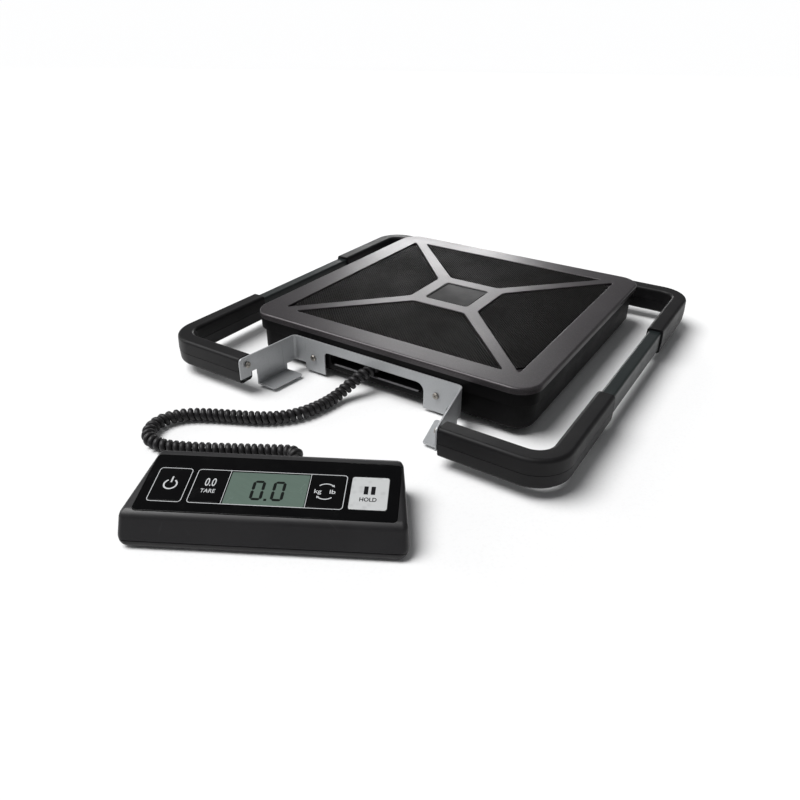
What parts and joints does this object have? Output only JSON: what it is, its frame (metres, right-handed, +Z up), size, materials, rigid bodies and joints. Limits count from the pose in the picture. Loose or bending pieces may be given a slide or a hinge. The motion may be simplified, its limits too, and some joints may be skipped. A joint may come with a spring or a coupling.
{
  "type": "platform shipping scale",
  "caption": "Low square weighing platform with ribbed tread mats, side carrying handles and a remote display on a curly cord.",
  "frame": {"origin": "on the table, under the middle of the whole outfit's plan box; the platform's centre is 117.2 mm behind it", "axes": "+Z up, +Y from the display and the cord side at the front towards the rear of the platform, +X to the right"},
  "size_m": [0.408, 0.6004, 0.049],
  "materials": {
    "cover": "satin metallic brown-grey paint",
    "mat": "fine moulded tread, matt black",
    "badge": "satin black",
    "plate": "zinc plated",
    "pan": "fine spark texture, black",
    "board": "green solder mask",
    "bracket": "light grey powder coat",
    "tube": "satin dark green-grey paint",
    "grip": "satin moulded black",
    "load_cell": "machined",
    "foot": "matt black",
    "screw": "nickel plated",
    "relief": "matt black",
    "cord": "satin charcoal jacket",
    "case": "satin black, fine grain",
    "panel": "high gloss black",
    "hold_key": "satin silver paint",
    "lcd": "grey-green liquid crystal behind clear window",
    "battery": "gloss printed sleeve",
    "contact": "nickel plated"
  },
  "bodies": {
    "base": {"base_pan": "pan", "cord_pocket": "pan", "junction_board": "board", "front_bracket": "bracket", "rear_bracket": "bracket", "base_cord_relief": "relief", "curly_cord": "cord", "load_cell_front_left": "load_cell", "foot_front_left": "foot", "load_cell_front_right": "load_cell", "foot_front_right": "foot", "load_cell_rear_left": "load_cell", "foot_rear_left": "foot", "load_cell_rear_right": "load_cell", "foot_rear_right": "foot", "front_bracket_screw_1": "screw", "front_bracket_screw_2": "screw", "handle_screw_front_left": "screw", "front_grip_upper_left": "grip", "front_grip_lower_left": "grip", "handle_screw_front_right": "screw", "front_grip_upper_right": "grip", "front_grip_lower_right": "grip", "rear_bracket_screw_1": "screw", "rear_bracket_screw_2": "screw", "handle_screw_rear_left": "screw", "rear_grip_upper_left": "grip", "rear_grip_lower_left": "grip", "handle_screw_rear_right": "screw", "rear_grip_upper_right": "grip", "rear_grip_lower_right": "grip", "handle_tube_left": "tube", "handle_tube_right": "tube"},
    "platform": {"platform_cover": "cover", "tread_mat_front": "mat", "tread_mat_rear": "mat", "tread_mat_left": "mat", "tread_mat_right": "mat", "centre_badge": "badge", "load_spider": "plate"},
    "display": {"display_top_housing": "case", "display_bottom_housing": "case", "display_panel": "panel", "lcd_module": "lcd", "display_board": "board", "battery_1": "battery", "battery_2": "battery", "battery_3": "battery", "battery_contacts": "contact", "display_cord_relief": "relief", "display_pad_front_left": "foot", "display_pad_front_right": "foot", "display_pad_rear_left": "foot", "display_pad_rear_right": "foot"},
    "power_key": {"power_key": "panel"},
    "tare_key": {"tare_key": "panel"},
    "units_key": {"units_key": "panel"},
    "hold_key": {"hold_key": "hold_key"},
    "battery_door": {"battery_door": "case"}
  },
  "joints": [
    {"name": "platform_press", "type": "slide", "parent": "base", "child": "platform", "axis": [0, 0, -1], "range_m": [0, 0.0005], "stiffness_N_per_m": 200000},
    {"name": "display_lift", "type": "slide", "parent": "base", "child": "display", "axis": [0, 0, 1], "range_m": [0, 0.06]},
    {"name": "power_key_press", "type": "slide", "parent": "display", "child": "power_key", "axis": [-0.0611, 0.1102, -0.992], "range_m": [0, 0.0005], "stiffness_N_per_m": 1500},
    {"name": "tare_key_press", "type": "slide", "parent": "display", "child": "tare_key", "axis": [-0.0611, 0.1102, -0.992], "range_m": [0, 0.0005], "stiffness_N_per_m": 1500},
    {"name": "units_key_press", "type": "slide", "parent": "display", "child": "units_key", "axis": [-0.0611, 0.1102, -0.992], "range_m": [0, 0.0005], "stiffness_N_per_m": 1500},
    {"name": "hold_key_press", "type": "slide", "parent": "display", "child": "hold_key", "axis": [-0.0611, 0.1102, -0.992], "range_m": [0, 0.0005], "stiffness_N_per_m": 1500},
    {"name": "battery_door_slide", "type": "slide", "parent": "display", "child": "battery_door", "axis": [0.4848, -0.8746, 0], "range_m": [0, 0.005]}
  ]
}
